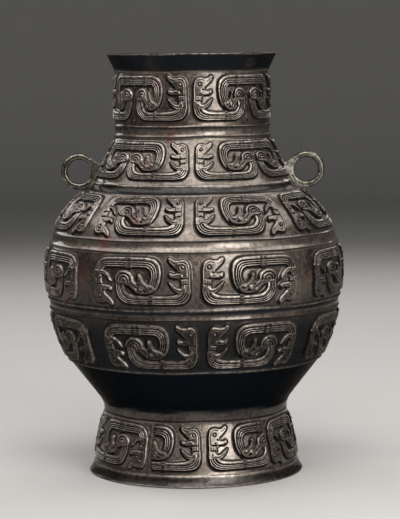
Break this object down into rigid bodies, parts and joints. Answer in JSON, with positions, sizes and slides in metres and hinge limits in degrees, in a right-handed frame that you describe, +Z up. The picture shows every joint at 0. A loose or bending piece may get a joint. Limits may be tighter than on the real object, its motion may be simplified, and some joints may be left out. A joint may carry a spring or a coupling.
{
  "type": "vessel",
  "caption": "Round bronze hu wine vessel with bands of interlaced dragon relief, two fixed shoulder rings, a flared rim and a hollow flared foot.",
  "frame": {"origin": "on the vessel's axis, in the plane of the foot's rest", "axes": "+Z up out of the mouth, +X through the right-hand ring as seen from the front"},
  "size_m": [0.2562, 0.2562, 0.36],
  "materials": {
    "dark_bronze": "dark brown patina, satin, with red and green corrosion in places",
    "olive_bronze": "olive patina, satin, worn bright on the edges",
    "old_solder": "dull grey tin solder"
  },
  "bodies": {
    "root": {"vessel_body": "dark_bronze", "base_plate": "dark_bronze", "foot_ring": "dark_bronze", "ring_handle_left": "olive_bronze", "ring_handle_right": "olive_bronze", "handle_solder_left": "old_solder", "handle_solder_right": "old_solder", "base_solder_seam": "old_solder", "foot_solder_seam": "old_solder"}
  },
  "joints": []
}
